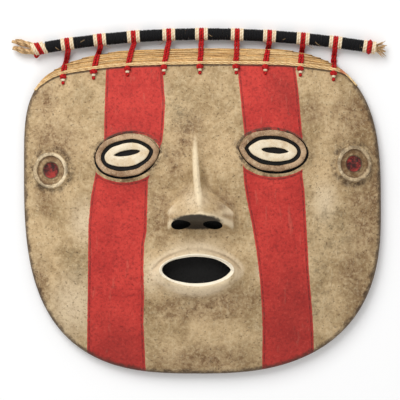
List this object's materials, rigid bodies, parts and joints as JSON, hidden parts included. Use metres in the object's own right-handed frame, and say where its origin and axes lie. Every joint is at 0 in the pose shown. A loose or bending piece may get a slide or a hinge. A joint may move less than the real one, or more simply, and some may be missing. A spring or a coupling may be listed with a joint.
{
  "type": "ancient mask",
  "caption": "Carved and painted wooden face mask with inlaid slit eyes, an open mouth, a plant-fibre brow band and a thread-wrapped hanging cord tied on with red thread.",
  "frame": {"origin": "bottom centre of the bounding box, on the floor that the mask's back rim lies on", "axes": "+X to the viewer's right across the face, +Y to the brow, +Z out of the face"},
  "size_m": [0.3016, 0.2776, 0.0579],
  "materials": {
    "painted_wood": "worn matt paint over a ground, with dark patina",
    "eye_wood": "worn, satin",
    "pitch": "dark resin, satin",
    "shell": "polished shell, satin",
    "plant_fibre": "dry plant fibre, matt",
    "black_yarn": "spun yarn, matt",
    "cream_yarn": "spun yarn, matt",
    "red_yarn": "spun yarn, matt"
  },
  "bodies": {
    "root": {"face": "painted_wood", "cord_core": "plant_fibre", "red_end_wrap_left": "red_yarn", "red_end_wrap_right": "red_yarn", "eye_rim_left": "eye_wood", "eye_rim_right": "eye_wood", "eye_pitch_left": "pitch", "eye_pitch_right": "pitch", "eye_shell_left": "shell", "eye_shell_right": "shell", "band_strand_1": "plant_fibre", "band_strand_2": "plant_fibre", "band_strand_3": "plant_fibre", "band_strand_4": "plant_fibre", "band_strand_5": "plant_fibre", "band_strand_6": "plant_fibre", "band_strand_7": "plant_fibre", "black_wrap_01": "black_yarn", "black_wrap_02": "black_yarn", "black_wrap_03": "black_yarn", "black_wrap_04": "black_yarn", "black_wrap_05": "black_yarn", "black_wrap_06": "black_yarn", "black_wrap_07": "black_yarn", "black_wrap_08": "black_yarn", "black_wrap_09": "black_yarn", "black_wrap_10": "black_yarn", "cream_wrap_01": "cream_yarn", "cream_wrap_02": "cream_yarn", "cream_wrap_03": "cream_yarn", "cream_wrap_04": "cream_yarn", "cream_wrap_05": "cream_yarn", "cream_wrap_06": "cream_yarn", "cream_wrap_07": "cream_yarn", "cream_wrap_08": "cream_yarn", "cream_wrap_09": "cream_yarn", "cream_wrap_10": "cream_yarn", "cream_wrap_11": "cream_yarn", "tie_bead_1": "cream_yarn", "tie_bead_2": "cream_yarn", "tie_bead_3": "cream_yarn", "tie_bead_4": "cream_yarn", "tie_bead_5": "cream_yarn", "tie_bead_6": "cream_yarn", "tie_bead_7": "cream_yarn", "tie_bead_8": "cream_yarn", "tie_bead_9": "cream_yarn", "red_tie_1": "red_yarn", "red_tie_2": "red_yarn", "red_tie_3": "red_yarn", "red_tie_4": "red_yarn", "red_tie_5": "red_yarn", "red_tie_6": "red_yarn", "red_tie_7": "red_yarn", "red_tie_8": "red_yarn", "red_tie_9": "red_yarn"}
  },
  "joints": []
}
